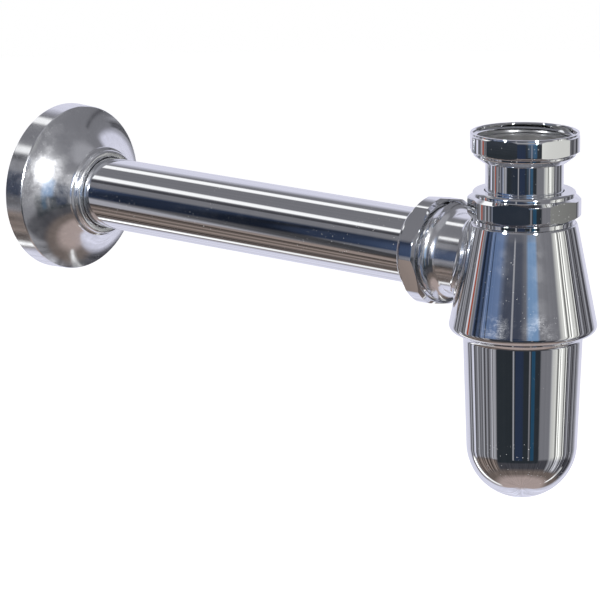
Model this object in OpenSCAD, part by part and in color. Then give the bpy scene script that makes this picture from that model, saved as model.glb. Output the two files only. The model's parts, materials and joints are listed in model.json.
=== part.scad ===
// Chromed bottle trap for a washbasin: union nut and dip tube above, turned body with a screwed cup
// below, and a wall tube with its flange to the left. The origin is the centre of the inlet washer's
// upper face, +Z is up and the outlet runs along -X.

/* [Tubes] */
// Outer diameter of the dip tube and the wall tube
tube_d = 32; // [28:0.1:34]
// Wall of both tubes
tube_wall = 1.2; // [0.8:0.1:2]
// Length of the dip tube, flange included
dip_length = 113; // [95:1:125]
// Length of the wall tube's spigot behind the flange
spigot_length = 22.4; // [10:0.1:60]
// Width of the groove that marks the spigot's start
mark_w = 0.9; // [0.6:0.1:1.5]
// Depth of that groove
mark_depth = 0.3; // [0.2:0.05:0.5]
// Distance from the trap's axis to the wall tube's inner end
wall_tube_start = 30; // [28:0.5:36]
// Height from the outlet's axis up to the washer's face
outlet_drop = 51.3; // [50:0.1:90]

/* [Union threads] */
// Crest diameter of the union threads, and the root diameter of the nuts
thread_d = 41.91; // [39.5:0.01:46]
// Depth of the union threads
thread_depth = 1.48; // [1:0.01:1.6]

/* [Clamping nuts] */
// Metal between the thread's root and a flat
nut_wall = 1.1; // [0.9:0.05:3]
// Rise of the rounded corners over the flats
nut_corner = 1.25; // [0.8:0.05:1.6]
// Height of a clamping nut
nut_h = 11; // [10:0.1:14]
// Thickness of a clamping nut's cap
nut_cap = 3; // [2:0.1:4]
// Step from the flats in to the turned collar
collar_step = 0.9; // [0.5:0.1:1.5]
// Length of that collar
nut_collar_h = 2.1; // [1.6:0.1:3]
// Rounding of the collar's edge
nut_round = 1.3; // [0.5:0.1:1.5]
// Height of the chamfer between the collar and the flats
nut_slope = 1.3; // [0.8:0.1:2]
// Chamfer at the open end of every nut
nut_chamfer = 1; // [0.5:0.1:1.3]
// Turn of the body nut's flats
body_nut_turn = 53.6; // [0:0.1:60]
// Turn of the outlet nut's flats from upright
outlet_nut_turn = 10; // [0:0.1:60]

/* [Inlet nut] */
// Metal between the thread's root and a flat of the inlet nut
inlet_wall = 1.3; // [0.9:0.05:3]
// Rise of its rounded corners over the flats
inlet_corner = 1.35; // [0.8:0.05:1.6]
// Height of the inlet nut's rim above the washer
inlet_rim = 4.3; // [3:0.1:12]
// Thickness of the inlet nut's base
inlet_base = 4.5; // [4:0.1:6]
// Wall of the hub under the inlet nut
inlet_hub_wall = 1.95; // [1:0.05:2.6]
// Length of that hub
inlet_hub_h = 2.8; // [1.5:0.1:3.1]
// Height of the conical shoulder above the hub
inlet_slope = 2.5; // [1.5:0.1:3]
// Turn of the inlet nut's flats
inlet_nut_turn = 40.6; // [0:0.1:60]

/* [Seals and rings] */
// Thickness of the inlet washer
washer_t = 2; // [1.5:0.1:2.5]
// Thickness of the dip tube's flange
flange_t = 1.4; // [1:0.1:2]
// Thickness of the slip rings
slip_t = 1.3; // [1:0.1:2]
// Height of a tapered seal above the mouth that it sits in
seal_head = 2; // [1.5:0.1:3]
// Depth of the conical seat in the mouth
seat_depth = 3; // [2:0.1:4]
// Wall left at the mouth's rim, beside the conical seat
seat_rim = 0.7; // [0.5:0.1:1.2]
// Thickness of the cup's seal
cup_seal_t = 2; // [1.5:0.1:3]
// Thickness of the ring in the wall flange
grip_t = 1.6; // [1.2:0.1:2]

/* [Body] */
// Gap between a clamping nut's open end and the foot of the thread
nut_gap = 0.7; // [0.5:0.1:1.5]
// Length of the collar under the body nut
collar_h = 1.9; // [1.2:0.1:3]
// Metal between the branch and the shoulder above it
shoulder_gap = 0.9; // [0.6:0.1:2]
// Step from the collar out to the shoulder
shoulder_step = 0.95; // [0.6:0.05:2]
// Rounding of the shoulder
shoulder_round = 1.1; // [0.5:0.1:1.2]
// Metal between the cup's thread and the cone at its foot
cone_foot = 5; // [4.5:0.1:8]
// Rounding of the cone's lower lip
lip_round = 2.8; // [1:0.1:3]
// Wall of the chamber under the shoulder
shoulder_wall = 2.6; // [2:0.1:3]
// Metal between the shoulder and the chamber's ceiling
ceiling = 2.4; // [2:0.1:3]
// Metal between the branch and the cup's seal
socket_gap = 0.7; // [0.5:0.1:2]

/* [Outlet branch] */
// Wall of the branch
branch_wall = 0.85; // [0.7:0.05:1.3]
// Distance from the trap's axis to the branch's mouth
branch_length = 44.7; // [42:0.1:60]
// Radius of the flare below the branch's thread
flare_r = 5.2; // [4.5:0.1:6]
// Step from the thread's crest in to the collar below it
branch_step = 0.4; // [0.2:0.05:0.8]
// Length of the collar behind the branch's thread
branch_collar = 1.1; // [0.8:0.1:1.5]
// Radius of the fillet on the branch's saddle
saddle_fillet = 3.4; // [2:0.1:3.6]
// Thickness of the saddle's edge
saddle_edge = 0.7; // [0.5:0.1:1]
// Width of the flat edge round the fillet
saddle_brim = 0.6; // [0.3:0.1:1]

/* [Cup] */
// Depth of the whole cup below the cone
cup_h = 70.6; // [64:0.1:90]
// Crest diameter of the cup's thread
cup_thread_d = 52.2; // [47:0.1:57.5]
// Depth of the cup's thread
cup_thread_depth = 1.1; // [0.9:0.05:1.2]
// Length of the cup's threaded spigot
cup_spigot = 8; // [6:0.1:9]
// Wall of that spigot
spigot_wall = 1.6; // [1.2:0.1:2]
// Thickness of the rim that meets the cone
cup_rim_t = 0.7; // [0.5:0.1:1.5]
// Step from the rim in to the cup's wall
cup_step = 1.5; // [1:0.1:2]
// Radius of the cove under the rim
cup_cove = 2.4; // [2:0.1:3]
// Narrowing of the cup from its cove to its round bottom
cup_taper = 1.65; // [0.5:0.05:3]
// Wall of the cup
cup_wall = 1.6; // [1.2:0.1:2]

/* [Wall flange] */
// Distance from the trap's axis to the wall
wall_distance = 267.6; // [230:0.1:300]
// Diameter of the flange
flange_d = 76; // [66:0.5:90]
// Depth of the flange's rim
flange_rim = 9.8; // [5:0.1:12]
// Draft of the flange's rim
rim_draft = 0.4; // [0.1:0.1:1]
// Depth of the whole flange
flange_depth = 28; // [25:0.1:32]
// Thickness of the flange's shell
flange_wall = 1; // [0.8:0.1:1.4]
// Hollow of the flange's face, at its deepest
face_hollow = 1.8; // [1:0.1:3]
// Wall of the lip outside the rubber ring
lip_wall = 1.45; // [1.2:0.05:2.5]
// Length of the rounded lip
lip_h = 2.2; // [1.8:0.1:2.6]
// Step from the lip out to the ring at the neck's foot
neck_step = 1.3; // [0.8:0.1:2]

/* [Clearances] */
// Play of a tube in a metal bore, across
tube_play = 0.6; // [0.4:0.05:1]
// Play of the wall tube in the branch, across
branch_play = 0.3; // [0.2:0.05:0.6]
// Play of a tube in its seals, across
seal_play = 0.1; // [0.05:0.01:0.16]
// Play of the washer and the flange inside the inlet nut, across
washer_play = 0.3; // [0.2:0.05:0.6]
// Play of the cup's thread in its socket, across
socket_play = 0.2; // [0.1:0.05:0.4]
// Gap between a seal and the seat around it
seat_gap = 0.1; // [0.05:0.01:0.2]
// Brazing gap between the branch and the body
braze_gap = 0.05; // [0.03:0.01:0.08]

/* [Hidden] */

$fn = 96;
past = 1;
edge = 0.5;

tube_r = tube_d / 2;
bore_r = tube_r - tube_wall;
sleeve_r = tube_r + tube_play / 2;
seat_foot_r = sleeve_r + 0.2;
branch_bore_r = tube_r + branch_play / 2;
branch_r = branch_bore_r + branch_wall;
seal_r = tube_r + seal_play / 2;

root_r = thread_d / 2;
core_r = root_r - thread_depth;
washer_r = core_r - washer_play / 2;
seat_r = core_r - seat_rim;
flat_r = root_r + nut_wall;
inlet_flat_r = root_r + inlet_wall;
stack_h = seal_head + slip_t + nut_cap;

shoulder_h = branch_r + shoulder_gap;
shoulder_r = root_r + shoulder_step;
neck_foot = shoulder_h + collar_h;
thread_h = nut_gap + nut_h - stack_h;
neck_h = neck_foot + thread_h;
body_drop = branch_r + socket_gap + cup_seal_t + cup_spigot;
cup_thread_r = cup_thread_d / 2;
cup_core_r = cup_thread_r - cup_thread_depth;
chamber_r = cup_core_r - spigot_wall;
cone_foot_r = cup_thread_r + cone_foot;
cone_lean = atan((cone_foot_r - shoulder_r) / (shoulder_h + body_drop));

saddle_r = branch_r + saddle_fillet + saddle_brim;
saddle_root_r = branch_r - 0.3;
saddle_top = neck_foot - edge;
saddle_steps = 60;
fillet_steps = 5;
under_steps = 3;

groove_r = seal_r + grip_t + seat_gap;
groove_z = flange_depth - lip_h - grip_t;
lip_r = groove_r + lip_wall;
neck_ring_r = lip_r + neck_step;

// Points on an arc from angle a0 to a1
function arc(cx, cy, r, a0, a1, steps = 8) =
    [for (i = [0:steps]) let (a = a0 + (a1 - a0) * i / steps) [cx + r * cos(a), cy + r * sin(a)]];

// Radius of the cone at a height above the outlet's axis
function cone_r(h) = shoulder_r + (shoulder_h - h) * tan(cone_lean);

// Height of the saddle over the cone at a distance from the branch's axis
function saddle_h(r) =
    let (run = max(0, saddle_fillet - max(0, r - saddle_root_r)))
    saddle_edge + saddle_fillet - sqrt(saddle_fillet ^ 2 - run ^ 2);

// How far the saddle's brim reaches at an angle from upright, so that it stays below the neck
function saddle_reach(a) = cos(a) > 0 ? min(saddle_r, saddle_top / cos(a)) : saddle_r;

// Distance from the trap's axis to the cone's surface, along the outlet
function cone_x(r, a) = sqrt(cone_r(r * cos(a)) ^ 2 - (r * sin(a)) ^ 2);

// Places children with their +Z along the outlet, away from the trap's axis, and their +X up
module along_outlet() {
    translate([0, 0, -outlet_drop])
        rotate([0, -90, 0])
            children();
}

// Places children at the height of the outlet's axis
module at_outlet() {
    translate([0, 0, -outlet_drop])
        children();
}

// Flat ring
module ring(r_out, r_in, t) {
    difference() {
        cylinder(r = r_out, h = t);
        translate([0, 0, -past])
            cylinder(r = r_in, h = t + 2 * past);
    }
}

// Six flats across a turned blank, from z0 to z1
module flats(r, z0, z1) {
    translate([0, 0, z0])
        rotate(30)
            cylinder(r = r / cos(30), h = z1 - z0, $fn = 6);
}

// Clamping nut, with its open end at z = 0 and its cap at the top
module clamping_nut() {
    nut_r = flat_r + nut_corner;
    collar_r = flat_r - collar_step;
    collar_z = nut_h - nut_collar_h;
    slope_z = collar_z - nut_slope;
    intersection() {
        rotate_extrude()
            polygon(concat(
                [[root_r, nut_chamfer / 2], [root_r + nut_chamfer / 2, 0], [flat_r - nut_chamfer / 4, 0],
                 [nut_r, nut_chamfer], [nut_r, slope_z], [collar_r + 0.3, collar_z - 0.2],
                 [collar_r, collar_z]],
                arc(collar_r - nut_round, nut_h - nut_round, nut_round, 0, 90, 5),
                [[sleeve_r + edge, nut_h], [sleeve_r, nut_h - edge], [sleeve_r, nut_h - nut_cap],
                 [root_r, nut_h - nut_cap]]));
        flats(flat_r, -past, nut_h + past);
    }
}

// Tapered seal with its wide end up, standing from below its seat to the slip ring
module tapered_seal() {
    foot_z = -seat_depth + seat_gap;
    rotate_extrude()
        polygon([[seal_r, foot_z + 0.5], [seal_r + 0.5, foot_z + 0.3], [seat_r - seat_gap, -seat_gap],
                 [seat_r - seat_gap, seal_head - 0.3], [seat_r - seat_gap - 0.3, seal_head],
                 [seal_r + 0.2, seal_head], [seal_r, seal_head - 0.2]]);
}

// Conical seat cut down into a mouth at z = 0
module seat_cut() {
    translate([0, 0, -seat_depth])
        cylinder(r1 = seat_foot_r, r2 = seat_r, h = seat_depth);
    cylinder(r = seat_r, h = past);
}

module inlet_nut() {
    base_z = -washer_t - flange_t;
    foot_z = base_z - inlet_base;
    hub_r = sleeve_r + inlet_hub_wall;
    hub_z = foot_z + inlet_hub_h;
    slope_z = hub_z + edge / 2;
    nut_r = inlet_flat_r + inlet_corner;
    thread_z = 0.2;
    color("gainsboro")
        intersection() {
            rotate_extrude()
                polygon([[sleeve_r, foot_z + edge], [sleeve_r + edge, foot_z], [hub_r - edge, foot_z],
                         [hub_r, foot_z + edge], [hub_r, hub_z], [hub_r + 0.9, slope_z],
                         [nut_r, slope_z + inlet_slope], [nut_r, inlet_rim - nut_chamfer],
                         [inlet_flat_r - 0.3, inlet_rim], [root_r + 0.8, inlet_rim],
                         [root_r, inlet_rim - 0.8], [root_r, thread_z], [core_r, thread_z - edge],
                         [core_r, base_z], [sleeve_r, base_z]]);
            rotate(inlet_nut_turn)
                flats(inlet_flat_r, foot_z - past, inlet_rim + past);
        }
}

module inlet_washer() {
    color("dimgray")
        translate([0, 0, -washer_t])
            ring(washer_r, bore_r, washer_t);
}

module inlet_tube() {
    color("gainsboro")
        translate([0, 0, -washer_t - dip_length])
            rotate_extrude()
                polygon([[bore_r, 0], [tube_r - edge, 0], [tube_r, edge], [tube_r, dip_length - flange_t],
                         [washer_r, dip_length - flange_t], [washer_r, dip_length], [bore_r, dip_length]]);
}

module body_nut() {
    color("gainsboro")
        at_outlet()
            translate([0, 0, neck_h + stack_h - nut_h])
                rotate(body_nut_turn)
                    clamping_nut();
}

module slip_ring() {
    color("ghostwhite")
        at_outlet()
            translate([0, 0, neck_h + seal_head])
                ring(core_r, sleeve_r, slip_t);
}

module tube_seal() {
    color("dimgray")
        at_outlet()
            translate([0, 0, neck_h])
                tapered_seal();
}

// Turned outline of the body, from the outlet's axis
module body_outline() {
    lip_z = -body_drop + lip_round;
    top_z = shoulder_h - shoulder_round;
    polygon(concat(
        [[0, neck_h], [core_r - edge, neck_h], [core_r, neck_h - edge], [core_r, neck_foot],
         [root_r - edge / 2, neck_foot], [root_r, neck_foot - edge / 2]],
        arc(cone_r(top_z) - shoulder_round / cos(cone_lean), top_z, shoulder_round, 78, cone_lean, 4),
        arc(cone_r(lip_z) - lip_round / cos(cone_lean), lip_z, lip_round, cone_lean, -90, 6),
        [[0, -body_drop]]));
}

// Hollow of the body: the cup's socket, the seal's ledge, the chamber and the tube's bore
module body_hollow() {
    socket_r = cup_thread_r + socket_play / 2;
    ledge_z = -body_drop + cup_spigot + cup_seal_t;
    top_z = shoulder_h - ceiling;
    polygon([[0, -body_drop - past], [socket_r, -body_drop - past], [socket_r, ledge_z], [chamber_r, ledge_z],
             [shoulder_r - shoulder_wall, top_z], [seat_foot_r, top_z + 2], [seat_foot_r, neck_h + past],
             [0, neck_h + past]]);
}

module trap_body() {
    color("gainsboro")
        difference() {
            at_outlet()
                difference() {
                    rotate_extrude()
                        body_outline();
                    rotate_extrude()
                        body_hollow();
                    translate([0, 0, neck_h])
                        seat_cut();
                }
            along_outlet()
                cylinder(r = branch_r + braze_gap, h = cone_foot_r);
        }
}

// Saddle round the branch's root: rings of points that follow the cone, from the branch's wall outwards
module saddle() {
    run = saddle_r - saddle_root_r;
    radii = [for (i = [0:fillet_steps]) saddle_root_r + (run - 0.2) * (i / fillet_steps) ^ 2];
    section = concat([for (r = radii) [r, saddle_h(r)]], [[saddle_r, saddle_edge - 0.2]],
                     [for (i = [under_steps:-1:0]) [saddle_root_r + run * i / under_steps, braze_gap]]);
    count = len(section);
    points = [for (i = [0:saddle_steps - 1]) for (p = section)
        let (a = 360 * i / saddle_steps,
             r = saddle_root_r + (p[0] - saddle_root_r) * (saddle_reach(a) - saddle_root_r) / run)
        [r * cos(a), r * sin(a), cone_x(r, a) + p[1]]];
    quads = [for (i = [0:saddle_steps - 1]) for (j = [0:count - 1])
        let (a = i * count, b = (i + 1) % saddle_steps * count, k = (j + 1) % count)
        [a + j, b + j, b + k, a + k]];
    polyhedron(points, [for (q = quads) for (t = [[q[0], q[1], q[2]], [q[0], q[2], q[3]]]) t]);
}

module outlet_branch() {
    collar_r = root_r - branch_step;
    thread_z = branch_length - thread_h;
    flare_z = thread_z - branch_collar;
    flare_run = sqrt(flare_r ^ 2 - (flare_r - collar_r + branch_r) ^ 2);
    color("gainsboro")
        difference() {
            along_outlet()
                difference() {
                    union() {
                        rotate_extrude()
                            polygon(concat(
                                [[0, 0], [branch_r, 0]],
                                arc(branch_r + flare_r, flare_z - flare_run, flare_r,
                                    180, 180 - asin(flare_run / flare_r), 7),
                                [[collar_r, thread_z - 0.2], [core_r, thread_z],
                                 [core_r, branch_length - edge], [core_r - edge, branch_length],
                                 [0, branch_length]]));
                        saddle();
                    }
                    translate([0, 0, -past])
                        cylinder(r = branch_bore_r, h = branch_length + 2 * past);
                    translate([0, 0, branch_length])
                        seat_cut();
                }
            at_outlet()
                rotate_extrude()
                    body_hollow();
        }
}

module cup_seal() {
    color("dimgray")
        at_outlet()
            translate([0, 0, -body_drop + cup_spigot])
                ring(cup_core_r, chamber_r, cup_seal_t);
}

module cup() {
    wall_r = cup_thread_r - cup_step;
    bottom_r = wall_r - cup_taper;
    bottom_z = -cup_h + bottom_r;
    cove_z = -cup_rim_t - cup_cove;
    color("gainsboro")
        at_outlet()
            translate([0, 0, -body_drop])
                rotate_extrude()
                    polygon(concat(
                        arc(0, bottom_z, bottom_r, -90, -2, 18),
                        arc(wall_r + cup_cove, cove_z, cup_cove, 180, 180 - acos(1 - cup_step / cup_cove), 5),
                        [[cup_thread_r, -cup_rim_t], [cup_thread_r, 0], [cup_core_r, 0],
                         [cup_core_r, cup_spigot - edge], [cup_core_r - edge, cup_spigot],
                         [chamber_r, cup_spigot], [chamber_r, -cup_rim_t], [wall_r - cup_wall, cove_z]],
                        arc(0, bottom_z, bottom_r - cup_wall, -2, -90, 14)));
}

module outlet_nut() {
    color("gainsboro")
        along_outlet()
            translate([0, 0, branch_length + stack_h - nut_h])
                rotate(outlet_nut_turn)
                    clamping_nut();
}

module outlet_slip_ring() {
    color("ghostwhite")
        along_outlet()
            translate([0, 0, branch_length + seal_head])
                ring(core_r, sleeve_r, slip_t);
}

module outlet_seal() {
    color("dimgray")
        along_outlet()
            translate([0, 0, branch_length])
                tapered_seal();
}

// The groove marks how far the spigot goes into the wall's socket
module wall_tube() {
    wall_z = wall_distance - wall_tube_start;
    length = wall_z + spigot_length;
    color("gainsboro")
        along_outlet()
            translate([0, 0, wall_tube_start])
                rotate_extrude()
                    polygon([[bore_r, 0], [tube_r - edge, 0], [tube_r, edge], [tube_r, wall_z],
                             [tube_r - mark_depth, wall_z], [tube_r - mark_depth, wall_z + mark_w],
                             [tube_r, wall_z + mark_w], [tube_r, length - edge], [tube_r - edge, length],
                             [bore_r, length]]);
}

// The flange's face from its rim to the foot of its neck, a shallow hollow, moved inwards by a wall
function face_curve(wall, steps = 8) =
    let (r0 = flange_d / 2 - rim_draft - edge / 2 - wall * 0.8, z0 = flange_rim + edge / 2 - wall * 0.8,
         r1 = neck_ring_r - wall * 0.6, z1 = groove_z - past / 2 - wall * 0.8,
         run = norm([r1 - r0, z1 - z0]))
    [for (i = [0:steps]) let (t = i / steps, sink = face_hollow * 4 * t * (1 - t))
        [r0 + (r1 - r0) * t - sink * (z1 - z0) / run, z0 + (z1 - z0) * t - sink * (r0 - r1) / run]];

// Places children with their +Z from the wall towards the trap, along the outlet's axis
module from_wall() {
    along_outlet()
        translate([0, 0, wall_distance])
            mirror([0, 0, 1])
                children();
}

module wall_flange() {
    r = flange_d / 2;
    inner = face_curve(flange_wall);
    groove_top = groove_z + grip_t + 2 * seat_gap;
    lip_z = flange_depth - lip_h;
    color("gainsboro")
        from_wall()
            rotate_extrude()
                polygon(concat(
                    [[r - flange_wall, 0], [r, 0], [r - rim_draft, flange_rim - edge / 2]],
                    face_curve(0),
                    [[neck_ring_r - 0.2, lip_z - 1.2], [lip_r + 0.1, lip_z - 0.7], [lip_r - 0.2, lip_z - 0.4],
                     [lip_r, lip_z]],
                    arc(lip_r - 1.4, flange_depth - 1.4, 1.4, 10, 90, 5),
                    [[sleeve_r + edge, flange_depth], [sleeve_r, flange_depth - edge],
                     [sleeve_r, groove_top], [groove_r, groove_top], [groove_r, groove_z],
                     [sleeve_r, groove_z], [sleeve_r, groove_z - 1.6]],
                    [for (i = [len(inner) - 1:-1:0]) inner[i]],
                    [[r - rim_draft - flange_wall, flange_rim - 1.2]]));
}

module flange_grip_ring() {
    color("dimgray")
        from_wall()
            translate([0, 0, groove_z + seat_gap + grip_t / 2])
                rotate_extrude()
                    translate([seal_r + grip_t / 2, 0])
                        circle(d = grip_t, $fn = 32);
}

inlet_nut();
inlet_washer();
inlet_tube();
body_nut();
slip_ring();
tube_seal();
trap_body();
outlet_branch();
cup_seal();
cup();
outlet_nut();
outlet_slip_ring();
outlet_seal();
wall_tube();
wall_flange();
flange_grip_ring();
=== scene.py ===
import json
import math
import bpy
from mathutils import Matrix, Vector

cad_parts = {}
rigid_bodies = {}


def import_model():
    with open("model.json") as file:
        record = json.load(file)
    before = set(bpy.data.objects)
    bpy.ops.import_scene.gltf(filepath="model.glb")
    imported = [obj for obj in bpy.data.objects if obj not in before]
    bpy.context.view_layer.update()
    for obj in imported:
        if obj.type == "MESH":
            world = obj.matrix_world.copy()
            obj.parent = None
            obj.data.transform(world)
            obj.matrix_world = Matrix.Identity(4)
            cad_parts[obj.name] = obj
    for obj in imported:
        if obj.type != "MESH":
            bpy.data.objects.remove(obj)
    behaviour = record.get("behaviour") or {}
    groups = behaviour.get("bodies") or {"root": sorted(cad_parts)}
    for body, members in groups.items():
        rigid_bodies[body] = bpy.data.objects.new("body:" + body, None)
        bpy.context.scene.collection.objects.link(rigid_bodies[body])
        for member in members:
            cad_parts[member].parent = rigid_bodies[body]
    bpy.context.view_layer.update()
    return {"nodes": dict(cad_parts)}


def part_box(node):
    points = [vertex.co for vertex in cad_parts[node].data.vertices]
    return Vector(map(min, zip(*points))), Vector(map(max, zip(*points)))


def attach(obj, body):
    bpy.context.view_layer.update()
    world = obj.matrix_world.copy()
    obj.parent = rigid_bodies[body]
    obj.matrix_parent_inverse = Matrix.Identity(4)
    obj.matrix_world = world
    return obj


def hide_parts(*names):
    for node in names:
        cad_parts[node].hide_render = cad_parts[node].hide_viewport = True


bl_info = {
    "name": "Bottle trap",
    "version": (1, 0, 0),
    "blender": (4, 5, 0),
    "location": "View3D > Sidebar > Trap",
    "description": "Chromed bottle trap with its threads, dressed round the packed solids",
    "category": "Object",
}

import bpy
from mathutils import Vector

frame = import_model()
MM = 0.001
SEGMENTS = 192
OUTLET_Z = (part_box("wall_tube")[0][2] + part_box("wall_tube")[1][2]) / 2


# The camera's place in metres and its turn in degrees, and the way it looks round the upright axis
CAMERA_PLACE = (0.80952, -1.04950, 0.23895)
CAMERA_TURN = (77.027, 0.280, 41.550)
ROOM_TURN = math.radians(41.6)
# Display colours of what stands in the studio
WHITE = (255, 255, 255)
PAPER = (210, 210, 225)
CREAM = (205, 205, 200)
PALE = (150, 150, 155)
GREY = (115, 115, 120)
DUSK = (65, 65, 70)
COAL = (40, 45, 50)
NAVY = (40, 50, 70)
STEEL = (90, 110, 145)
SKY = (110, 140, 175)
TEAL = (35, 70, 95)
ORANGE = (200, 85, 45)
TAUPE = (105, 95, 90)
CLAY = (165, 150, 145)
# The room that chrome shows, in degrees: a turn of 0 is behind the camera, and right is plus.
# Floor, walls and ceiling: the height where each starts, how soft its lower edge is, and its colour.
WALLS = (
    (-90, 6, CLAY),
    (-60, 10, TAUPE),
    (-45, 8, DUSK),
    (-24, 4, GREY),
    (62, 12, PALE),
)
# What stands before them: turn from and to, height from and to, softness and colour.
BOARDS = (
    # White paper behind the part, seen past both of its sides
    (138, 222, -80, 36, 10, PAPER),
    (-222, -138, -80, 36, 10, PAPER),
    # Left: dark floor, white boards, orange cloth, navy and steel boards
    (-138, -60, -45, -24, 6, TAUPE),
    (-132, -122, -64, -24, 4, WHITE),
    (-121, -116, -24, -9, 2, PAPER),
    (-105, -91, -9, 13, 3, PALE),
    (-100, -97, -12, 14, 1, ORANGE),
    (-90, -72, -9, 16, 5, NAVY),
    (-74, -40, -9, 40, 14, STEEL),
    (-68, -58, -24, -9, 2, PALE),
    # Front: black cloth low down, a dark doorway with its light frame, a window
    (-57, 32, -30, -9, 3, COAL),
    (-42, -2, -9, 13, 12, NAVY),
    (-18, -2, -24, -9, 3, NAVY),
    (-23, -20, -24, 13, 1, PALE),
    (9, 12, -24, -9, 1, GREY),
    (14, 21, -24, -9, 2, TEAL),
    (3, 21, -9, 14, 5, SKY),
    # Right: pale floor, cream screen, dark posts, white skirting
    (56, 92, -45, -9, 6, PALE),
    (58, 93, -24, 13, 8, CREAM),
    (93, 97, -24, 13, 2, DUSK),
    (110, 114, -45, 40, 2, DUSK),
    (126, 132, -12, 13, 3, DUSK),
    (104, 110, -60, -35, 3, WHITE),
    # Above: two bands over the left wall, one behind
    (-115, -85, 27, 32, 2, DUSK),
    (-115, -90, 34, 40, 2, WHITE),
    (-153, -140, 40, 62, 4, WHITE),
)


# Small tools for turned pieces


def deselect():
    if bpy.context.mode != "OBJECT":
        bpy.ops.object.mode_set(mode="OBJECT")
    bpy.ops.object.select_all(action="DESELECT")


def settle(piece):
    """Puts a piece's place, turn and size into its mesh."""
    deselect()
    piece.select_set(True)
    bpy.context.view_layer.objects.active = piece
    bpy.ops.object.transform_apply(location=True, rotation=True, scale=True)


def pick(piece, keep):
    """Selects the vertices whose place passes a test, in edit mode."""
    bpy.context.view_layer.objects.active = piece
    bpy.ops.object.mode_set(mode="EDIT")
    bpy.ops.mesh.select_mode(type="VERT")
    bpy.ops.mesh.select_all(action="DESELECT")
    bpy.ops.object.mode_set(mode="OBJECT")
    for vertex in piece.data.vertices:
        vertex.select = keep(vertex.co)
    bpy.ops.object.mode_set(mode="EDIT")


def near_ring(place):
    """Test for the vertices of one ring at a (radius, height)."""
    radius, height = place
    return lambda co: abs(math.hypot(co.x, co.y) - radius) < 2e-6 and abs(co.z - height) < 2e-6


def rounded(corners, closed=True, step=8.0, hold=0.35):
    """A turned section in millimetres, each corner (radius, height, fillet), as (radius, height) in metres.

    Each fillet becomes short straights, and a holding ring stands beside it on each long side.
    """
    points = []
    count = len(corners)
    for i, (radius, height, fillet) in enumerate(corners):
        here = Vector((radius, height))
        if not fillet or (not closed and i in (0, count - 1)):
            points.append(here)
            continue
        before = Vector(corners[i - 1][:2]) - here
        after = Vector(corners[(i + 1) % count][:2]) - here
        turn = before.angle(after)
        if turn > 3.05:
            points.append(here)
            continue
        reach = fillet / math.tan(turn / 2)
        a, b = before.normalized(), after.normalized()
        centre = here + (a + b).normalized() * fillet / math.sin(turn / 2)
        spoke = here + a * reach - centre
        sweep = spoke.angle_signed(here + b * reach - centre)
        steps = max(2, math.ceil(abs(math.degrees(sweep)) / step))
        if before.length > reach + 2 * hold:
            points.append(here + a * (reach + hold))
        for k in range(steps + 1):
            angle = -sweep * k / steps
            points.append(centre + Vector((spoke.x * math.cos(angle) - spoke.y * math.sin(angle),
                                           spoke.x * math.sin(angle) + spoke.y * math.cos(angle))))
        if after.length > reach + 2 * hold:
            points.append(here + b * (reach + hold))
    return [(p.x * MM, p.y * MM) for p in points]


def arc(centre, radius, start, end, steps):
    """Corners without fillets along an arc, in millimetres and degrees."""
    places = []
    for i in range(steps + 1):
        angle = math.radians(start + (end - start) * i / steps)
        places.append((centre[0] + radius * math.cos(angle), centre[1] + radius * math.sin(angle), 0))
    return places


def turned(name, section, closed=True):
    """A turned piece: a circle extruded from ring to ring of its section, then closed."""
    deselect()
    radius, height = section[0]
    bpy.ops.mesh.primitive_circle_add(vertices=SEGMENTS, radius=radius, location=(0, 0, height))
    piece = bpy.context.object
    piece.name = piece.data.name = name
    settle(piece)
    bpy.ops.object.mode_set(mode="EDIT")
    bpy.ops.mesh.select_all(action="SELECT")
    for (radius_from, height_from), (radius, height) in zip(section, section[1:]):
        bpy.ops.mesh.extrude_region_move(TRANSFORM_OT_translate={"value": (0, 0, height - height_from)})
        scale = radius / radius_from
        bpy.ops.transform.resize(value=(scale, scale, 1), center_override=(0, 0, height))
    if closed:
        first, last = near_ring(section[0]), near_ring(section[-1])
        pick(piece, lambda co: first(co) or last(co))
        bpy.ops.mesh.bridge_edge_loops()
    else:
        for place in (section[0], section[-1]):
            pick(piece, near_ring(place))
            bpy.ops.mesh.extrude_region_move()
            bpy.ops.mesh.merge(type="CENTER")
    bpy.ops.mesh.select_all(action="SELECT")
    bpy.ops.mesh.normals_make_consistent(inside=False)
    bpy.ops.object.mode_set(mode="OBJECT")
    return piece


def boolean(piece, cutter, operation="DIFFERENCE"):
    bpy.context.view_layer.objects.active = piece
    bpy.ops.object.modifier_add(type="BOOLEAN")
    modifier = piece.modifiers[-1]
    modifier.operation = operation
    modifier.solver = "EXACT"
    modifier.object = cutter
    bpy.ops.object.modifier_apply(modifier=modifier.name)
    bpy.data.objects.remove(cutter)


def at_outlet(piece):
    """From round the Z axis to round the outlet's axis, with +Z turned to -X and +X turned up."""
    piece.rotation_euler = (0, -math.pi / 2, 0)
    piece.location = (0, 0, OUTLET_Z)
    settle(piece)


def raised(piece, height):
    piece.location = (0, 0, height)
    settle(piece)


def hexagon(flat, height, turn):
    """Prism with six flats that a nut's blank is cut with."""
    deselect()
    bpy.ops.mesh.primitive_cylinder_add(vertices=6, radius=flat / math.cos(math.pi / 6) * MM,
                                        depth=height * MM, rotation=(0, 0, math.radians(turn)))
    prism = bpy.context.object
    settle(prism)
    return prism


def cut_flats(nut, flat, turn, under, over):
    """Cuts six flats into a nut's blank between two heights."""
    deselect()
    bpy.ops.mesh.primitive_cylinder_add(vertices=SEGMENTS, radius=2 * flat * MM, depth=(over - under) * MM,
                                        location=(0, 0, (over + under) / 2 * MM))
    cutter = bpy.context.object
    settle(cutter)
    boolean(cutter, hexagon(flat, 4 * (over - under), turn))
    boolean(nut, cutter)


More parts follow.
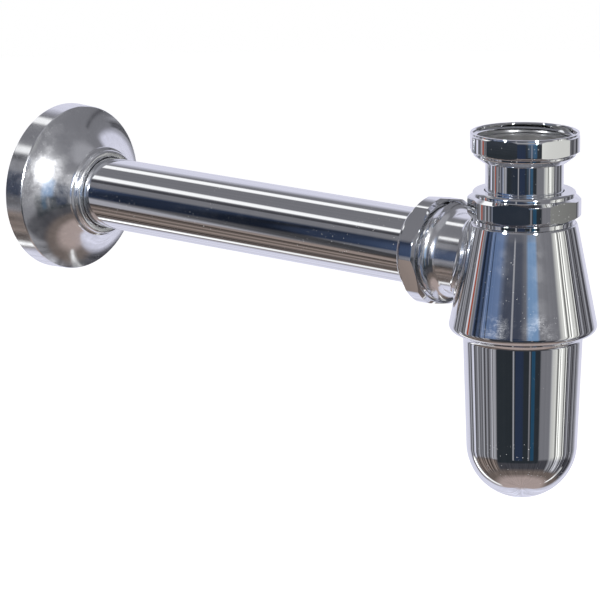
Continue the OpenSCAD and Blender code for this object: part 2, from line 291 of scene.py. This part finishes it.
def soft_edges(piece, width, angle):
    """Breaks the sharp edges left by a cut."""
    bpy.context.view_layer.objects.active = piece
    bpy.ops.object.modifier_add(type="BEVEL")
    modifier = piece.modifiers[-1]
    modifier.width = width * MM
    modifier.segments = 2
    modifier.limit_method = "ANGLE"
    modifier.angle_limit = math.radians(angle)
    modifier.use_clamp_overlap = True
    bpy.ops.object.modifier_apply(modifier=modifier.name)


def ridge(name, base, crest, pitch, start, length, phase=0.0, half_base=0.9, half_crest=0.2):
    """Helical thread ridge from its base radius to its crest radius, in millimetres and degrees."""
    deselect()
    middle, height = (base + crest) / 2, abs(crest - base)
    bpy.ops.mesh.primitive_plane_add(size=1, rotation=(math.pi / 2, 0, 0),
                                     location=(middle * MM, 0, start * MM))
    piece = bpy.context.object
    piece.name = piece.data.name = name
    piece.scale = (height * MM, 2 * half_base * MM, 1)
    settle(piece)
    side = 1 if crest > base else -1
    pick(piece, lambda co: (co.x / MM - middle) * side > 0)
    bpy.ops.transform.resize(value=(1, 1, half_crest / half_base),
                             center_override=(crest * MM, 0, start * MM))
    bpy.ops.mesh.select_all(action="SELECT")
    bpy.ops.mesh.delete(type="ONLY_FACE")
    bpy.ops.object.mode_set(mode="OBJECT")
    piece.rotation_euler = (0, 0, math.radians(phase))
    settle(piece)
    bpy.ops.object.modifier_add(type="SCREW")
    screw = piece.modifiers[-1]
    turns = length / pitch
    screw.angle = 2 * math.pi * turns
    screw.screw_offset = length * MM
    screw.iterations = 1
    screw.steps = screw.render_steps = math.ceil(72 * turns)
    bpy.ops.object.modifier_apply(modifier=screw.name)
    count = len(piece.data.vertices)
    for first in (0, count - 4):
        for vertex in piece.data.vertices:
            vertex.select = first <= vertex.index < first + 4
        ends = [v.co.copy() for v in piece.data.vertices if v.select]
        crest_now = crest * MM
        pick(piece, lambda co: any((co - e).length < 1e-7 for e in ends))
        bpy.ops.mesh.edge_face_add()
        pick(piece, lambda co: any((co - e).length < 1e-7 for e in ends)
             and abs(math.hypot(co.x, co.y) - crest_now) < 1e-5)
        scale = (base + 0.02 * side) / crest
        bpy.ops.transform.resize(value=(scale, scale, 1), center_override=(0, 0, 0))
        bpy.ops.object.mode_set(mode="OBJECT")
    pick(piece, lambda co: True)
    bpy.ops.mesh.normals_make_consistent(inside=False)
    bpy.ops.object.mode_set(mode="OBJECT")
    return piece


def finish_piece(piece, body, material, nodes=(), angle=14.0):
    """Smooths a finished piece, gives it its material, hangs it on its body and hides the packed parts it
    stands for.
    """
    deselect()
    piece.select_set(True)
    bpy.context.view_layer.objects.active = piece
    bpy.ops.object.shade_smooth_by_angle(angle=math.radians(angle))
    bpy.ops.object.modifier_add(type="WEIGHTED_NORMAL")
    modifier = piece.modifiers[-1]
    modifier.keep_sharp = True
    modifier.weight = 100
    bpy.ops.object.modifier_apply(modifier=modifier.name)
    piece.data.materials.clear()
    piece.data.materials.append(material)
    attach(piece, body)
    if nodes:
        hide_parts(*nodes)


# Shader graph


class Wire:
    """A socket that takes part in sums."""

    def __init__(self, graph, socket):
        self.graph = graph
        self.socket = socket

    def math(self, operation, *others, clamp=False):
        values = dict(enumerate((self,) + others))
        return self.graph.node("ShaderNodeMath", {"operation": operation, "use_clamp": clamp}, values)

    def __add__(self, other):
        return self.math("ADD", other)

    def __sub__(self, other):
        return self.math("SUBTRACT", other)

    def __rsub__(self, other):
        return self.graph.node("ShaderNodeMath", {"operation": "SUBTRACT"}, {0: other, 1: self})

    def __mul__(self, other):
        return self.math("MULTIPLY", other)

    def __truediv__(self, other):
        return self.math("DIVIDE", other)

    def __abs__(self):
        return self.math("ABSOLUTE")

    __radd__ = __add__
    __rmul__ = __mul__

    def clamped(self):
        return self.math("ADD", 0.0, clamp=True)


class Graph:
    """Builds nodes in a material's or the world's tree."""

    def __init__(self, tree):
        self.tree = tree
        tree.nodes.clear()

    def node(self, kind, settings=None, sockets=None, output=0):
        """Adds a node, settings first and then its sockets' values or links, and gives one output."""
        node = self.tree.nodes.new(kind)
        for key, value in (settings or {}).items():
            setattr(node, key, value)
        for key, value in (sockets or {}).items():
            if isinstance(value, Wire):
                self.tree.links.new(value.socket, node.inputs[key])
            else:
                node.inputs[key].default_value = value
        return Wire(self, node.outputs[output]) if node.outputs else None

    def mix(self, factor, below, above):
        """Mixes two colours, each a wire or three numbers."""
        sockets = {"Factor": factor}
        for key, value in ((6, below), (7, above)):
            sockets[key] = value if isinstance(value, Wire) else (*value, 1)
        return self.node("ShaderNodeMix", {"data_type": "RGBA", "clamp_factor": True}, sockets, output=2)

    def axes(self, vector):
        node = self.node("ShaderNodeSeparateXYZ", None, {"Vector": vector}).socket.node
        return [Wire(self, output) for output in node.outputs]

    def objects(self):
        return self.node("ShaderNodeTexCoord", output=3)

    def noise(self, vector, scale, detail=3.0, roughness=0.5):
        return self.node("ShaderNodeTexNoise", None,
                         {"Vector": vector, "Scale": scale, "Detail": detail, "Roughness": roughness})


def new_material(name):
    material = bpy.data.materials.new(name)
    material.use_nodes = True
    return material, Graph(material.node_tree)


def shown(red, green, blue):
    """Display colour from 0 to 255 as the linear colour that renders as it."""
    return tuple((v / 255 / 12.92) if v < 11 else ((v / 255 + 0.055) / 1.055) ** 2.4
                 for v in (red, green, blue))


def room_light(red, green, blue):
    """Light of a part of the room that chrome shows as this display colour."""
    return tuple(1.12 * v for v in shown(red, green, blue))


def chrome(name, finish, grain, scuffs, blur=0.0, handled=None):
    """Chrome plating: mirror-bright, with faint polishing lines, scuffed patches and small dull specks.

    grain stretches the polishing lines round the piece's own axis, scuffs says how worn the piece is, blur
    adds to its roughness, and handled is the height in metres, from and to, where hands have worn it more.
    """
    material, g = new_material(name)
    place = g.objects()
    stretched = g.node("ShaderNodeMapping", {"vector_type": "POINT"}, {"Vector": place, "Scale": grain})
    lines = g.noise(stretched, 1, 2, 0.6)
    haze = ((g.noise(place, 55, 4, 0.55) - 0.5) * 5).clamped()
    worn = ((g.noise(place, 110, 6, 0.7) - 0.47) * 7).clamped()
    cells = g.node("ShaderNodeTexVoronoi", {"feature": "F1"}, {"Vector": place, "Scale": 640}, output=0)
    patch = ((g.noise(place, 34, 4, 0.6) - 0.49) * 9).clamped()
    speck = ((0.12 - cells) * 30).clamped() * patch
    rough = haze * finish.haze + (lines - 0.5) * 0.01 + (finish.roughness + blur)
    colour = g.mix(speck * 0.55, tuple(finish.chrome_colour), (0.95, 0.95, 0.95))
    bump = g.node("ShaderNodeBump", None, {"Strength": 0.05, "Distance": 0.00002, "Height": lines})
    mirror = g.node("ShaderNodeBsdfPrincipled", None, {
        "Base Color": colour, "Metallic": 1.0 - speck * 0.8, "Roughness": rough.clamped(), "Normal": bump})
    scuffed = g.node("ShaderNodeBsdfPrincipled", None, {
        "Base Color": colour, "Metallic": 1.0, "Roughness": finish.scuff_roughness, "Normal": bump})
    share = (worn * 0.7 + 0.3) * scuffs
    if handled:
        low, high = handled
        height = g.axes(place)[2]
        soft = (high - low) / 3
        near = ((height - low) / soft).clamped() * ((high - height) / soft).clamped()
        share = share + near * ((g.noise(stretched, 3, 4, 0.7) - 0.42) * 4).clamped() * worn * 0.1
    shader = g.node("ShaderNodeMixShader", None, {0: share, 1: mirror, 2: scuffed})
    g.node("ShaderNodeOutputMaterial", None, {"Surface": shader})
    return material


def dull(name, colour, roughness, bump_size, bump_height, spread=0.25):
    """Rubber or plastic: fine grain, slight changes of tone and a soft gloss."""
    material, g = new_material(name)
    place = g.objects()
    tone = g.noise(place, 260, 4, 0.6)
    grain = g.noise(place, bump_size, 2, 0.5)
    lighter = tuple(min(1, c * (1 + spread)) for c in colour)
    darker = tuple(c * (1 - spread) for c in colour)
    bump = g.node("ShaderNodeBump", None, {"Strength": 0.4, "Distance": bump_height, "Height": grain})
    shader = g.node("ShaderNodeBsdfPrincipled", None, {
        "Base Color": g.mix(tone, darker, lighter), "Roughness": (roughness + (tone - 0.5) * 0.2).clamped(),
        "Normal": bump})
    g.node("ShaderNodeOutputMaterial", None, {"Surface": shader})
    return material


# What a user would change


class TrapSizes(bpy.types.PropertyGroup):
    tube_radius: bpy.props.FloatProperty(
        name="Tube radius", description="Outer radius of the dip tube and the wall tube",
        default=0.016, unit="LENGTH")
    tube_bore: bpy.props.FloatProperty(
        name="Tube bore", description="Inner radius of both tubes", default=0.0148, unit="LENGTH")
    union_root: bpy.props.FloatProperty(
        name="Union root radius", description="Root radius of the union nuts' female threads",
        default=0.020955, unit="LENGTH")
    union_core: bpy.props.FloatProperty(
        name="Union core radius", description="Root radius of the union's male threads",
        default=0.019475, unit="LENGTH")
    union_pitch: bpy.props.FloatProperty(
        name="Union pitch", description="Pitch of the union threads", default=0.002309, unit="LENGTH")
    cup_pitch: bpy.props.FloatProperty(
        name="Cup pitch", description="Pitch of the cup's thread", default=0.002, unit="LENGTH")


class TrapFinish(bpy.types.PropertyGroup):
    chrome_colour: bpy.props.FloatVectorProperty(
        name="Chrome", description="Colour of the chrome plating", subtype="COLOR", size=3,
        default=(0.84, 0.85, 0.87), min=0, max=1)
    roughness: bpy.props.FloatProperty(
        name="Roughness", description="Roughness of the clean chrome", default=0.018, min=0, max=1,
        subtype="FACTOR")
    haze: bpy.props.FloatProperty(
        name="Haze", description="Roughness that hazy patches add", default=0.02, min=0, max=1,
        subtype="FACTOR")
    scuff_roughness: bpy.props.FloatProperty(
        name="Scuffs", description="Roughness of the scuffed part of the plating", default=0.34,
        min=0, max=1, subtype="FACTOR")
    rubber_colour: bpy.props.FloatVectorProperty(
        name="Rubber", description="Colour of the seals", subtype="COLOR", size=3,
        default=(0.035, 0.036, 0.04), min=0, max=1)
    nylon_colour: bpy.props.FloatVectorProperty(
        name="Nylon", description="Colour of the slip rings", subtype="COLOR", size=3,
        default=(0.72, 0.72, 0.68), min=0, max=1)


class TrapStudio(bpy.types.PropertyGroup):
    floor_drop: bpy.props.FloatProperty(
        name="Floor drop", description="Height of the floor below the part's origin", default=0.42,
        unit="LENGTH")
    floor_colour: bpy.props.FloatVectorProperty(
        name="Floor", description="Colour of the floor", subtype="COLOR", size=3,
        default=(0.92, 0.92, 0.92), min=0, max=1)
    lens: bpy.props.FloatProperty(
        name="Lens", description="Focal length of the camera in millimetres", default=198.0,
        subtype="DISTANCE_CAMERA")


def sizes():
    """The sizes in millimetres."""
    values = bpy.context.scene.trap_sizes
    return {key: getattr(values, key) / MM for key in values.__annotations__}


def finishes():
    """The materials, made once."""
    finish = bpy.context.scene.trap_finish
    wanted = {
        "chrome_upright": lambda n: chrome(n, finish, (60, 60, 2600), 0.008),
        "chrome_body": lambda n: chrome(n, finish, (60, 60, 2600), 0.008, 0,
                                        (OUTLET_Z - 0.0275, OUTLET_Z - 0.014)),
        "chrome_level": lambda n: chrome(n, finish, (2600, 60, 60), 0.02),
        "chrome_branch": lambda n: chrome(n, finish, (2600, 60, 60), 0.08, 0.09),
        "chrome_flange": lambda n: chrome(n, finish, (2600, 60, 60), 0.22, 0.1),
        "washer_rubber": lambda n: dull(n, (0.1, 0.1, 0.1), 0.5, 1500, 0.00004),
        "seal_rubber": lambda n: dull(n, tuple(finish.rubber_colour), 0.6, 1500, 0.00004),
        "nylon": lambda n: dull(n, tuple(finish.nylon_colour), 0.45, 900, 0.00003, 0.04),
    }
    return {name: bpy.data.materials.get(name) or make(name) for name, make in wanted.items()}


# The pieces


class TRAP_OT_soft_parts(bpy.types.Operator):
    """Give the seals, the washer and the slip rings their rubber and nylon"""
    bl_idname = "trap.soft_parts"
    bl_label = "Seals and slip rings"

    def execute(self, context):
        made = finishes()
        for node in ("tube_seal", "cup_seal", "outlet_seal", "flange_grip_ring"):
            self.dress(frame["nodes"][node], made["seal_rubber"])
        self.dress(frame["nodes"]["inlet_washer"], made["washer_rubber"])
        for node in ("slip_ring", "outlet_slip_ring"):
            self.dress(frame["nodes"][node], made["nylon"])
        return {"FINISHED"}

    def dress(self, node, material):
        for slot in node.material_slots:
            slot.material = material


class TRAP_OT_inlet(bpy.types.Operator):
    """Turn the inlet nut with its thread and the dip tube"""
    bl_idname = "trap.inlet"
    bl_label = "Inlet nut and dip tube"

    def execute(self, context):
        s = sizes()
        made = finishes()
        sleeve, root, core = s["tube_radius"] + 0.3, s["union_root"], s["union_core"]
        flat, crown, foot, base = root + 0.9, root + 1.95, -7.9, -3.4
        collar, lip, lip_foot, rim = flat - 0.9, flat + 0.4, 3.5, 4.3
        nut = turned("inlet_union_nut", rounded([
            (sleeve, foot, 0.4), (sleeve + 1.2, foot, 0.5),
            (collar, foot + 2.6, 1.0), (collar, foot + 3.7, 0.3),
            (crown, foot + 4.7, 0.4), (crown, lip_foot - 0.4, 0.3), (lip, lip_foot, 0.1), (lip, rim, 0.38),
            (lip - 0.95, rim, 0.38), (root, rim - 0.6, 0.2),
            (root, 0.2, 0), (core, -0.3, 0), (core, base, 0.2),
            (sleeve, base, 0.2)]))
        cut_flats(nut, flat, 42.6, foot - 1, lip_foot)
        soft_edges(nut, 0.12, 15)
        finish_piece(nut, "inlet_nut", made["chrome_upright"], ["inlet_nut"])
        thread = ridge("inlet_nut_thread", root + 0.05, core + 0.15, s["union_pitch"], 0.95, 2.0,
                       half_base=0.75)
        finish_piece(thread, "inlet_nut", made["chrome_upright"], angle=30)

        tube_r, bore, washer = s["tube_radius"], s["tube_bore"], core - 0.15
        tube = turned("dip_tube", rounded([
            (bore, -115, 0.2), (tube_r, -115, 0.4), (tube_r, -3.4, 0.3), (washer, -3.4, 0.2),
            (washer, -2, 0.2), (bore, -2, 0.2)]))
        finish_piece(tube, "inlet_tube", made["chrome_upright"], ["inlet_tube"])
        return {"FINISHED"}


def clamping_nut(name, s, turn):
    """Clamping nut with its open end at height 0, as a turned blank cut with six flats."""
    root, sleeve = s["union_root"], s["tube_radius"] + 0.3
    flat, crown, collar = root + 1.1, root + 2.35, root + 0.2
    nut = turned(name, rounded([
        (root, 0.5, 0.15), (root + 0.5, 0, 0.2), (flat - 0.25, 0, 0.3),
        (crown, 1, 0.25), (crown, 7.6, 0.25),
        (collar, 8.9, 0.2), (collar, 11, 1.3), (sleeve, 11, 0.5), (sleeve, 8, 0.2), (root, 8, 0.3)]))
    boolean(nut, hexagon(flat, 40, turn), "INTERSECT")
    soft_edges(nut, 0.12, 15)
    return nut


class TRAP_OT_nuts(bpy.types.Operator):
    """Turn and cut the two clamping nuts with their threads"""
    bl_idname = "trap.nuts"
    bl_label = "Clamping nuts"

    def execute(self, context):
        s = sizes()
        made = finishes()
        for where, turn, body in (("neck", 53.6, "body_nut"), ("outlet", 10, "outlet_nut")):
            nut = clamping_nut(f"{where}_clamping_nut", s, turn)
            thread = ridge(f"{where}_nut_thread", s["union_root"] + 0.05, s["union_core"] + 0.15,
                           s["union_pitch"], 1.5, 5.2, 180)
            if where == "neck":
                raised(nut, OUTLET_Z + 20.5 * MM)
                raised(thread, OUTLET_Z + 20.5 * MM)
                finish = made["chrome_upright"]
            else:
                for piece in (nut, thread):
                    piece.location.z = 40 * MM
                    settle(piece)
                    at_outlet(piece)
                finish = made["chrome_level"]
            finish_piece(nut, body, finish, [body])
            finish_piece(thread, body, finish, angle=30)
        return {"FINISHED"}


def body_hollow(s, name="hollow"):
    """Solid of the body's hollow, from the outlet's axis, to cut with."""
    seat_foot = s["tube_radius"] + 0.5
    return turned(name, rounded([
        (0.5, -30, 0), (26.2, -30, 0), (26.2, -17.7, 0.2), (23.4, -17.7, 0.2), (19.3, 15.5, 1.0),
        (seat_foot, 17.5, 0.4), (seat_foot, 28, 0), (0.5, 28, 0)]), closed=True)


class TRAP_OT_body(bpy.types.Operator):
    """Turn the conical body with the threads of its neck and its socket"""
    bl_idname = "trap.body"
    bl_label = "Body"

    def execute(self, context):
        s = sizes()
        made = finishes()
        core, root, seat_foot = s["union_core"], s["union_root"], s["tube_radius"] + 0.5
        shoulder, foot, top, drop = root + 0.95, 31.1, 17.9, -27.7
        cone = [(shoulder + (foot - shoulder) * t, top + (drop - top) * t, 0)
                for t in [i / 40 for i in range(3, 37)]]
        body = turned("bottle_body", rounded([
            (core, 19.8, 0.1), (root, 19.8, 0.25),
            (root - 0.05, top + 0.1, 0.15), (shoulder - 0.1, top, 0.9)]
            + cone + [
            (foot, drop, 2.8), (26.2, drop, 0.4), (26.2, -17.7, 0.2), (23.4, -17.7, 0.2), (19.3, 15.5, 1.0),
            (seat_foot, 17.5, 0.4), (seat_foot, 22.2, 0.2), (core - 0.7, 25.2, 0.15), (core, 25.2, 0.4)]))
        bpy.ops.mesh.primitive_cylinder_add(vertices=SEGMENTS, radius=17.05 * MM, depth=40 * MM,
                                            location=(-20 * MM, 0, 0), rotation=(0, math.pi / 2, 0))
        drill = bpy.context.object
        settle(drill)
        boolean(body, drill)
        raised(body, OUTLET_Z)
        finish_piece(body, "trap_body", made["chrome_body"], ["trap_body"])
        neck = ridge("neck_thread", core - 0.05, root - 0.15, s["union_pitch"], 20.9, 3.6)
        raised(neck, OUTLET_Z)
        finish_piece(neck, "trap_body", made["chrome_upright"], angle=30)
        socket = ridge("socket_thread", 26.25, 25.15, s["cup_pitch"], -26.2, 5.6, 180, 0.75, 0.15)
        raised(socket, OUTLET_Z)
        finish_piece(socket, "trap_body", made["chrome_upright"], angle=30)
        return {"FINISHED"}


class TRAP_OT_branch(bpy.types.Operator):
    """Turn the side branch and fit its saddle to the cone"""
    bl_idname = "trap.branch"
    bl_label = "Side branch"

    def execute(self, context):
        s = sizes()
        made = finishes()
        core, collar = s["union_core"], s["union_root"] - 0.4
        branch, bore, seat_foot, flare = 17.0, 16.15, s["tube_radius"] + 0.5, 5.2
        run = math.sqrt(flare ** 2 - (flare - collar + branch) ** 2)
        sweep = math.degrees(math.asin(run / flare))
        pipe = turned("side_branch", rounded(
            [(bore, 12, 0), (branch, 12, 0), (branch, 20, 0), (branch, 30, 0)]
            + arc((branch + flare, 38.2 - run), flare, 180, 180 - sweep, 12)
            + [(collar, 39.1, 0.12), (core, 39.3, 0.1), (core, 44.7, 0.4), (core - 0.7, 44.7, 0.15),
               (seat_foot, 41.7, 0.1), (bore, 41.6, 0.1), (bore, 30, 0)]))
        at_outlet(pipe)
        hollow = body_hollow(s)
        raised(hollow, OUTLET_Z)
        boolean(pipe, hollow)
        finish_piece(pipe, "trap_body", made["chrome_branch"], ["outlet_branch"])
        saddle = self.saddle(branch)
        finish_piece(saddle, "trap_body", made["chrome_level"], angle=40)
        thread = ridge("branch_thread", core - 0.05, s["union_root"] - 0.15, s["union_pitch"], 40.4, 3.6)
        at_outlet(thread)
        finish_piece(thread, "trap_body", made["chrome_level"], angle=30)
        return {"FINISHED"}

    def saddle(self, branch):
        """A brim of rings round the branch, laid on the cone and lifted by the fillet's height."""
        fillet, edge, brim = 3.4, 0.7, 0.6
        first, outer = branch - 0.15, branch + fillet + brim
        rings = []
        for i in range(13):
            radius = first + (outer - first - 0.25) * (i / 12) ** 1.6
            rest = max(0, fillet - max(0, radius - branch))
            rings.append((radius, edge + fillet - math.sqrt(fillet ** 2 - rest ** 2)))
        rings += [(outer - 0.1, edge - 0.05), (outer, edge - 0.2), (outer, 0.05)]
        rings += [(outer - (outer - first) * k / 4, 0.05) for k in (1, 2, 3, 4)]
        limit = 19.3
        piece = turned("branch_saddle", [(r * MM, (60 + 0.001 * i) * MM) for i, (r, h) in enumerate(rings)])
        slope = (31.1 - 21.905) / 45.6
        for vertex in piece.data.vertices:
            co = vertex.co
            index = round((co.z / MM - 60) / 0.001)
            radius, lift = rings[index]
            angle = math.atan2(co.y, co.x)
            up = math.cos(angle)
            reach = min(outer, limit / up) if up > 0 else outer
            radius = first + (radius - first) * (reach - first) / (outer - first)
            height = radius * up
            cone = 21.905 + (17.9 - height) * slope
            side = radius * math.sin(angle)
            vertex.co = (radius * up * MM, side * MM, (math.sqrt(cone ** 2 - side ** 2) + lift) * MM)
        at_outlet(piece)
        return piece


class TRAP_OT_cup(bpy.types.Operator):
    """Turn the cup with its threaded spigot"""
    bl_idname = "trap.cup"
    bl_label = "Cup"

    def execute(self, context):
        s = sizes()
        made = finishes()
        wall, cup_h, cove = 24.6, 70.6, 2.4
        bottom = wall - 1.65
        centre = -cup_h + bottom
        top = -0.7 - cove
        sweep = math.degrees(math.acos(1 - 1.5 / cove))
        inner = bottom - 1.6
        side = [(bottom + (wall - bottom) * t, centre + (top - centre) * t, 0)
                for t in (0.1, 0.35, 0.65, 0.9)]
        cup = turned("bottle_cup", rounded(
            arc((0, centre), bottom, -88.5, -2, 44) + side
            + arc((wall + cove, top), cove, 180, 180 - sweep, 10)
            + [(26.1, -0.7, 0.2), (26.1, 0, 0.2), (25.0, 0, 0.1), (25.0, 8, 0.4), (23.4, 8, 0.2),
               (23.4, -0.7, 0.5), (wall - 1.6, top, 0.5)]
            + arc((0, centre), inner, -2, -88.5, 30), closed=False), closed=False)
        raised(cup, OUTLET_Z - 27.7 * MM)
        finish_piece(cup, "cup", made["chrome_upright"], ["cup"])
        thread = ridge("cup_thread", 24.95, 25.95, s["cup_pitch"], 1.5, 5.2, 0, 0.75, 0.15)
        raised(thread, OUTLET_Z - 27.7 * MM)
        finish_piece(thread, "cup", made["chrome_upright"], angle=30)
        return {"FINISHED"}


class TRAP_OT_wall_side(bpy.types.Operator):
    """Turn the wall tube and its flange"""
    bl_idname = "trap.wall_side"
    bl_label = "Wall tube and flange"

    def execute(self, context):
        s = sizes()
        made = finishes()
        tube_r, bore = s["tube_radius"], s["tube_bore"]
        tube = turned("wall_pipe", rounded([
            (bore, 30, 0.2), (tube_r, 30, 0.4), (tube_r, 267.6, 0.08), (tube_r - 0.3, 267.6, 0.1),
            (tube_r - 0.3, 268.5, 0.1), (tube_r, 268.5, 0.08), (tube_r, 290, 0.4), (bore, 290, 0.2)]))
        at_outlet(tube)
        finish_piece(tube, "wall_tube", made["chrome_level"], ["wall_tube"])

        seal, wall = tube_r + 0.05, 267.6
        groove, sleeve = seal + 1.7, tube_r + 0.3
        lip, ring = groove + 1.45, groove + 2.75
        groove_z, lip_z, rim = 24.2, 25.8, 9.8

        def face(sink_wall, steps):
            """The shallow hollow from the rim to the neck's foot."""
            start = Vector((38 - 0.4 - 0.25 - sink_wall * 0.8, rim + 0.25 - sink_wall * 0.8))
            end = Vector((ring - sink_wall * 0.6, groove_z - 0.5 - sink_wall * 0.8))
            run = end - start
            sag = Vector((-run.y, run.x)).normalized() * 1.8
            return [tuple(start + run * t + sag * 4 * t * (1 - t)) + (0,)
                    for t in [i / steps for i in range(steps + 1)]]

        outer = [(r, z, 0) for r, z, _ in face(0, 28)]
        inner = [(r, z, 0) for r, z, _ in face(1, 16)][::-1]
        section = ([(37, 0, 0.2), (38, 0, 0.3), (37.6, rim - 0.25, 0.15)] + outer
                   + [(ring - 0.2, lip_z - 1.2, 0.3), (lip + 0.1, lip_z - 0.7, 0.2),
                       (lip - 0.2, lip_z - 0.4, 0.15),
                      (lip, lip_z, 0.2), (lip, 28, 1.3), (sleeve, 28, 0.4), (sleeve, groove_z + 1.8, 0.1),
                      (groove, groove_z + 1.8, 0.1), (groove, groove_z, 0.1), (sleeve, groove_z, 0.1),
                      (sleeve, groove_z - 1.6, 0.2)] + inner + [(36.6, rim - 1.2, 0.3)])
        flange = turned("wall_rosette", [(r, (wall * MM - z)) for r, z in rounded(section)])
        at_outlet(flange)
        finish_piece(flange, "wall_flange", made["chrome_flange"], ["wall_flange"])
        return {"FINISHED"}


class TRAP_OT_studio(bpy.types.Operator):
    """Set the camera, the floor, the soft lamps and the room that the chrome shows"""
    bl_idname = "trap.studio"
    bl_label = "Studio"

    def execute(self, context):
        scene = context.scene
        studio = scene.trap_studio
        scene.view_settings.view_transform = "Standard"
        camera_data = bpy.data.cameras.new("camera")
        camera = bpy.data.objects.new("camera", camera_data)
        scene.collection.objects.link(camera)
        camera_data.lens, camera_data.sensor_width = studio.lens, 36
        camera_data.clip_start, camera_data.clip_end = 0.01, 20
        camera.location = CAMERA_PLACE
        camera.rotation_euler = [math.radians(v) for v in CAMERA_TURN]
        scene.camera = camera

        deselect()
        bpy.ops.mesh.primitive_circle_add(vertices=96, radius=3.0, fill_type="NGON",
                                          location=(0, 0, -studio.floor_drop))
        floor = context.object
        floor.name = floor.data.name = "floor"
        floor.data.materials.append(self.floor_material(studio))
        floor.visible_glossy = False

        self.lamp("key_lamp", (0.9, -0.7, 1.1), 0.8, 9.0)
        self.lamp("fill_lamp", (-0.9, -1.1, 0.6), 0.9, 4.0)
        self.lamp("left_glint", (-0.186, -2.38, 0.77), 0.32, 110.0, glint=True)
        self.lamp("right_glint", (2.13, -1.06, 0.77), 0.32, 110.0, glint=True)
        self.world(scene)
        return {"FINISHED"}

    def lamp(self, name, place, size, power, glint=False):
        """A soft lamp for pale surfaces, or a small one that only glints on the chrome."""
        data = bpy.data.lights.new(name, "AREA")
        data.shape, data.size, data.energy = "DISK", size, power
        lamp = bpy.data.objects.new(name, data)
        bpy.context.scene.collection.objects.link(lamp)
        lamp.location = place
        lamp.rotation_euler = (Vector((-0.1, 0, -0.05)) - Vector(place)).to_track_quat("-Z", "Y").to_euler()
        lamp.visible_glossy = glint
        lamp.visible_diffuse = not glint
        lamp.visible_camera = False

    def floor_material(self, studio):
        material, g = new_material("pale_floor")
        place = g.objects()
        tone = g.noise(place, 3, 2) * 0.01 + 0.99
        colour = g.mix(tone, (0, 0, 0), tuple(studio.floor_colour))
        shader = g.node("ShaderNodeBsdfPrincipled", None, {
            "Base Color": colour, "Roughness": 0.9, "Emission Color": (1, 1, 1, 1),
            "Emission Strength": 0.44})
        g.node("ShaderNodeOutputMaterial", None, {"Surface": shader})
        return material

    def world(self, scene):
        """White to the camera, and a plain room with boards and cloths to the chrome."""
        world = bpy.data.worlds.new("studio_room")
        scene.world = world
        world.use_nodes = True
        g = Graph(world.node_tree)
        way = g.node("ShaderNodeTexCoord", output=0)
        split = g.axes(way)
        facing = split[0] * math.sin(ROOM_TURN) - split[1] * math.cos(ROOM_TURN)
        beside = split[0] * math.cos(ROOM_TURN) + split[1] * math.sin(ROOM_TURN)
        turn = beside.math("ARCTAN2", facing) * (180 / math.pi)
        rise = split[2].math("ARCSINE") * (180 / math.pi)

        def within(value, low, high, soft):
            return ((value - low) / soft + 0.5).clamped() * ((high - value) / soft + 0.5).clamped()

        room = room_light(*WALLS[0][2])
        for start, soft, colour in WALLS[1:]:
            room = g.mix(((rise - start) / soft + 0.5).clamped(), room, room_light(*colour))
        for low, high, under, over, soft, colour in BOARDS:
            inside = within(turn, low, high, soft) * within(rise, under, over, soft)
            room = g.mix(inside, room, room_light(*colour))

        # Thin upright strips of light and dark, sharp at the sides and faint elsewhere
        upright = g.node("ShaderNodeCombineXYZ", None, {0: turn * 0.28, 1: rise * 0.03})
        streaks = g.noise(upright, 1, 3, 0.6) - 0.5
        ground = ((-26.0 - rise) / 3).clamped()
        thin = g.node("ShaderNodeCombineXYZ", None, {0: turn * 0.22 + 7.0, 1: rise * 0.004})
        posts = (g.noise(thin, 1, 1, 0.5) - 0.5) * 14
        side = within(abs(turn), 60, 136, 6) * within(rise, -46, 13, 6)
        dark = (posts - 0.4).clamped() * side
        light = (-0.4 - posts).clamped() * side
        shade = streaks * (ground * 1.1 + 0.35) + 1.0 - dark * 0.7 + light * 1.1
        room = g.node("ShaderNodeVectorMath", {"operation": "SCALE"}, {0: room, "Scale": shade})
        path = g.node("ShaderNodeLightPath", output=3)
        seen = g.node("ShaderNodeLightPath", output=0)
        plain = g.mix(path, (0.62, 0.62, 0.63), room)
        colour = g.mix(seen, plain, (1, 1, 1))
        shader = g.node("ShaderNodeBackground", None, {"Color": colour, "Strength": 1.0})
        g.node("ShaderNodeOutputWorld", None, {"Surface": shader})


class TRAP_PT_panel(bpy.types.Panel):
    bl_idname = "TRAP_PT_panel"
    bl_label = "Bottle trap"
    bl_space_type = "VIEW_3D"
    bl_region_type = "UI"
    bl_category = "Trap"

    def draw(self, context):
        layout = self.layout
        for group in ("trap_sizes", "trap_finish", "trap_studio"):
            values = getattr(context.scene, group)
            for key in values.__annotations__:
                layout.prop(values, key)
        for operator in OPERATORS:
            layout.operator(operator.bl_idname)


GROUPS = {"trap_sizes": TrapSizes, "trap_finish": TrapFinish, "trap_studio": TrapStudio}
OPERATORS = (TRAP_OT_studio, TRAP_OT_soft_parts, TRAP_OT_inlet, TRAP_OT_nuts, TRAP_OT_body, TRAP_OT_branch,
             TRAP_OT_cup, TRAP_OT_wall_side)
CLASSES = (*GROUPS.values(), *OPERATORS, TRAP_PT_panel)


def register():
    for kind in CLASSES:
        bpy.utils.register_class(kind)
    for name, group in GROUPS.items():
        setattr(bpy.types.Scene, name, bpy.props.PointerProperty(type=group))


def unregister():
    for name in GROUPS:
        delattr(bpy.types.Scene, name)
    for kind in reversed(CLASSES):
        bpy.utils.unregister_class(kind)


def main():
    register()
    bpy.ops.trap.studio()
    bpy.ops.trap.soft_parts()
    bpy.ops.trap.inlet()
    bpy.ops.trap.nuts()
    bpy.ops.trap.body()
    bpy.ops.trap.branch()
    bpy.ops.trap.cup()
    bpy.ops.trap.wall_side()
    deselect()


if __name__ == "__main__":
    main()
